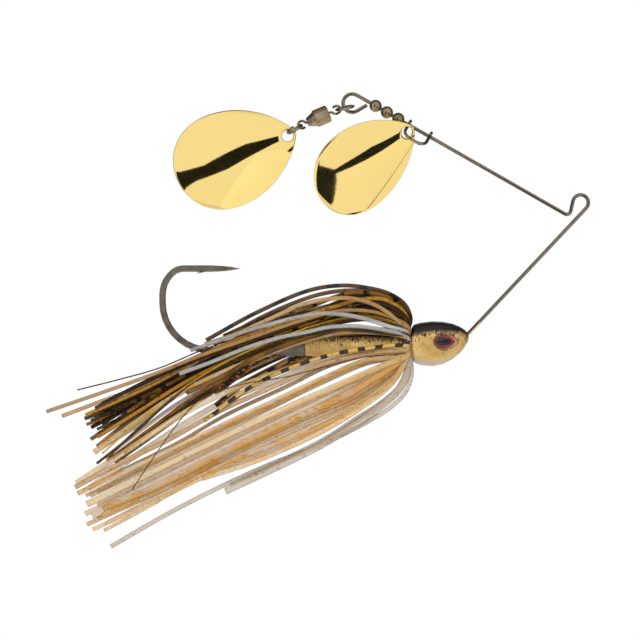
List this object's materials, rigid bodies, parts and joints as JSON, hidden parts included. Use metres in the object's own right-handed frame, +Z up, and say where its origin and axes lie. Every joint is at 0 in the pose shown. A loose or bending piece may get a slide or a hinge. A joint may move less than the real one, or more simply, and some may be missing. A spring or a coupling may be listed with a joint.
{
  "type": "spinnerbait",
  "caption": "Fishing lure: bent wire with a skirted lead head and hook on one arm and two spinner blades on the other.",
  "frame": {"origin": "centre of the line-tie loop at the wire's bend, where the fishing line is tied", "axes": "+X is the way the lure is towed, -X runs to the skirt's tips, +Z is up from the head to the blades, and Y is across the lure's flat side"},
  "size_m": [0.1151, 0.0144, 0.0968],
  "materials": {
    "wire": "dark nickel stainless wire",
    "hardware": "black nickel plate, bright",
    "hook_steel": "gunmetal hook steel",
    "gold_plate": "polished gold plate",
    "painted_lead": "gold paint with a black back and a pearl belly, clear coated",
    "eye_foil": "printed foil eye, red ring and black pupil",
    "eye_epoxy": "clear epoxy dome",
    "keeper_plastic": "grey moulded plastic",
    "collar_rubber": "black rubber collar",
    "skirt_olive": "translucent olive brown silicone with black bars",
    "skirt_black": "black silicone",
    "skirt_tan": "translucent tan silicone with red flecks",
    "skirt_clear": "clear silicone with fine flecks"
  },
  "bodies": {
    "wire_and_head": {"wire_form": "wire", "hook": "hook_steel", "head_casting": "painted_lead", "trailer_keeper": "keeper_plastic", "eye_foil_left": "eye_foil", "eye_foil_right": "eye_foil", "eye_dome_left": "eye_epoxy", "eye_dome_right": "eye_epoxy", "skirt_collar": "collar_rubber", "skirt_top": "skirt_olive", "skirt_upper_front": "skirt_olive", "skirt_upper_back": "skirt_black", "skirt_side_front": "skirt_tan", "skirt_side_back": "skirt_olive", "skirt_lower_front": "skirt_tan", "skirt_lower_back": "skirt_tan", "skirt_bottom": "skirt_clear"},
    "bead_1": {"bead_1": "hardware"},
    "bead_2": {"bead_2": "hardware"},
    "bead_3": {"bead_3": "hardware"},
    "clevis": {"clevis": "hardware"},
    "front_blade": {"front_blade": "gold_plate"},
    "link_ring": {"link_ring": "hardware"},
    "swivel_front_eye": {"swivel_front_eye": "hardware"},
    "swivel_barrel": {"swivel_barrel": "hardware"},
    "swivel_rear_eye": {"swivel_rear_eye": "hardware"},
    "split_ring": {"split_ring": "hardware"},
    "rear_blade": {"rear_blade": "gold_plate"}
  },
  "joints": [
    {"name": "bead_slide", "type": "slide", "parent": "wire_and_head", "child": "bead_1", "axis": [0.8686, 0, -0.4955], "range_m": [0, 0.025]},
    {"name": "bead_2_spin", "type": "hinge", "parent": "bead_1", "child": "bead_2", "pos_m": [-0.04156, 0, 0.01936], "axis": [0.8686, 0, -0.4955], "continuous": true},
    {"name": "bead_3_spin", "type": "hinge", "parent": "bead_1", "child": "bead_3", "pos_m": [-0.03913, 0, 0.01798], "axis": [0.8686, 0, -0.4955], "continuous": true},
    {"name": "clevis_spin", "type": "hinge", "parent": "bead_1", "child": "clevis", "pos_m": [-0.03692, 0, 0.01671], "axis": [0.8686, 0, -0.4955], "continuous": true},
    {"name": "front_blade_swing", "type": "hinge", "parent": "clevis", "child": "front_blade", "pos_m": [-0.03784, -0.00222, 0.01509], "axis": [-0.3181, -0.7663, -0.5582], "range_deg": [-30, 30]},
    {"name": "link_ring_swing", "type": "hinge", "parent": "wire_and_head", "child": "link_ring", "pos_m": [-0.05068, 0, 0.0203], "axis": [0.5299, 0, -0.848], "range_deg": [-15, 45]},
    {"name": "swivel_pitch", "type": "hinge", "parent": "link_ring", "child": "swivel_front_eye", "pos_m": [-0.05244, 0, 0.01991], "axis": [0, 1, 0], "range_deg": [-6, 60]},
    {"name": "barrel_spin", "type": "hinge", "parent": "swivel_front_eye", "child": "swivel_barrel", "pos_m": [-0.05402, 0, 0.01922], "axis": [-0.9171, 0, -0.3987], "continuous": true},
    {"name": "rear_eye_spin", "type": "hinge", "parent": "swivel_barrel", "child": "swivel_rear_eye", "pos_m": [-0.05979, 0, 0.01671], "axis": [-0.9171, 0, -0.3987], "continuous": true},
    {"name": "split_ring_swing", "type": "hinge", "parent": "swivel_rear_eye", "child": "split_ring", "pos_m": [-0.05979, 0, 0.01671], "axis": [0.3987, 0, -0.9171], "range_deg": [-10, 35]},
    {"name": "rear_blade_swing", "type": "hinge", "parent": "split_ring", "child": "rear_blade", "pos_m": [-0.06288, 0, 0.01486], "axis": [0, 1, 0], "range_deg": [-18, 60]}
  ]
}
